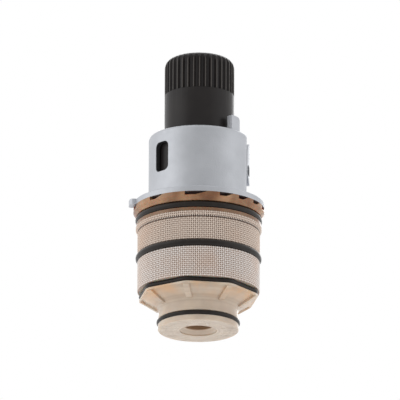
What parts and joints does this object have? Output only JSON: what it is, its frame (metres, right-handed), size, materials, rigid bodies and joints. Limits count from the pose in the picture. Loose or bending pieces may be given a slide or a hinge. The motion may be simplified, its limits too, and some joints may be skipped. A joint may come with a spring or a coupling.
{
  "type": "thermostatic cartridge",
  "caption": "Tap cartridge that mixes hot and cold water: outlet nose, mesh strainers between ring seals, cast metal head and a black splined knob.",
  "frame": {"origin": "centre of the outlet nose's foot, on the cartridge's axis; the part stands on that foot as in the picture", "axes": "+Z along the axis from the outlet nose to the knob; -Y is the front as pictured, with the locating ear at -X"},
  "size_m": [0.0513, 0.0496, 0.1072],
  "materials": {
    "cream_plastic": "satin, slightly translucent",
    "amber_plastic": "glossy, translucent",
    "cast_alloy": "satin, fine blasted",
    "woven_mesh": "plain square weave",
    "black_rubber": "satin",
    "white_plastic": "matt",
    "spring_steel": "bright",
    "black_plastic": "satin",
    "brass": "turned"
  },
  "bodies": {
    "housing": {"nose_body": "cream_plastic", "cage_body": "amber_plastic", "head_housing": "cast_alloy", "strainer_upper": "woven_mesh", "strainer_lower": "woven_mesh", "seal_upper": "black_rubber", "seal_middle": "black_rubber", "seal_lower": "black_rubber", "seal_nose": "black_rubber", "spindle_guide": "white_plastic", "knob_washer": "white_plastic", "return_spring": "spring_steel"},
    "knob": {"regulating_nut": "black_plastic", "handle_screw_insert": "brass"},
    "spindle": {"threaded_spindle": "brass", "spindle_seal": "black_rubber", "overload_plug": "brass", "overload_spring": "spring_steel"},
    "plunger": {"overload_plunger": "white_plastic", "element_piston": "spring_steel"},
    "slide": {"regulating_slide": "white_plastic", "slide_seal": "black_rubber", "wax_element": "brass", "element_clip": "spring_steel"}
  },
  "joints": [
    {"name": "knob_turn", "type": "hinge", "parent": "housing", "child": "knob", "pos_m": [0, 0, 0.1], "axis": [0, 0, 1], "range_deg": [-150, 150]},
    {"name": "spindle_slide", "type": "slide", "parent": "housing", "child": "spindle", "axis": [0, 0, 1], "range_m": [-0.00125, 0.00125]},
    {"name": "overload_slide", "type": "slide", "parent": "spindle", "child": "plunger", "axis": [0, 0, 1], "range_m": [0, 0.0015], "stiffness_N_per_m": 13000, "springref_m": -0.003, "deforming": ["overload_spring"]},
    {"name": "slide_shift", "type": "slide", "parent": "housing", "child": "slide", "axis": [0, 0, 1], "range_m": [-0.00035, 0.00035], "stiffness_N_per_m": 2770, "deforming": ["return_spring"]}
  ],
  "couplings": [
    {"joint": "spindle_slide", "follows": "knob_turn", "m_per_rad": 0.00047746}
  ]
}
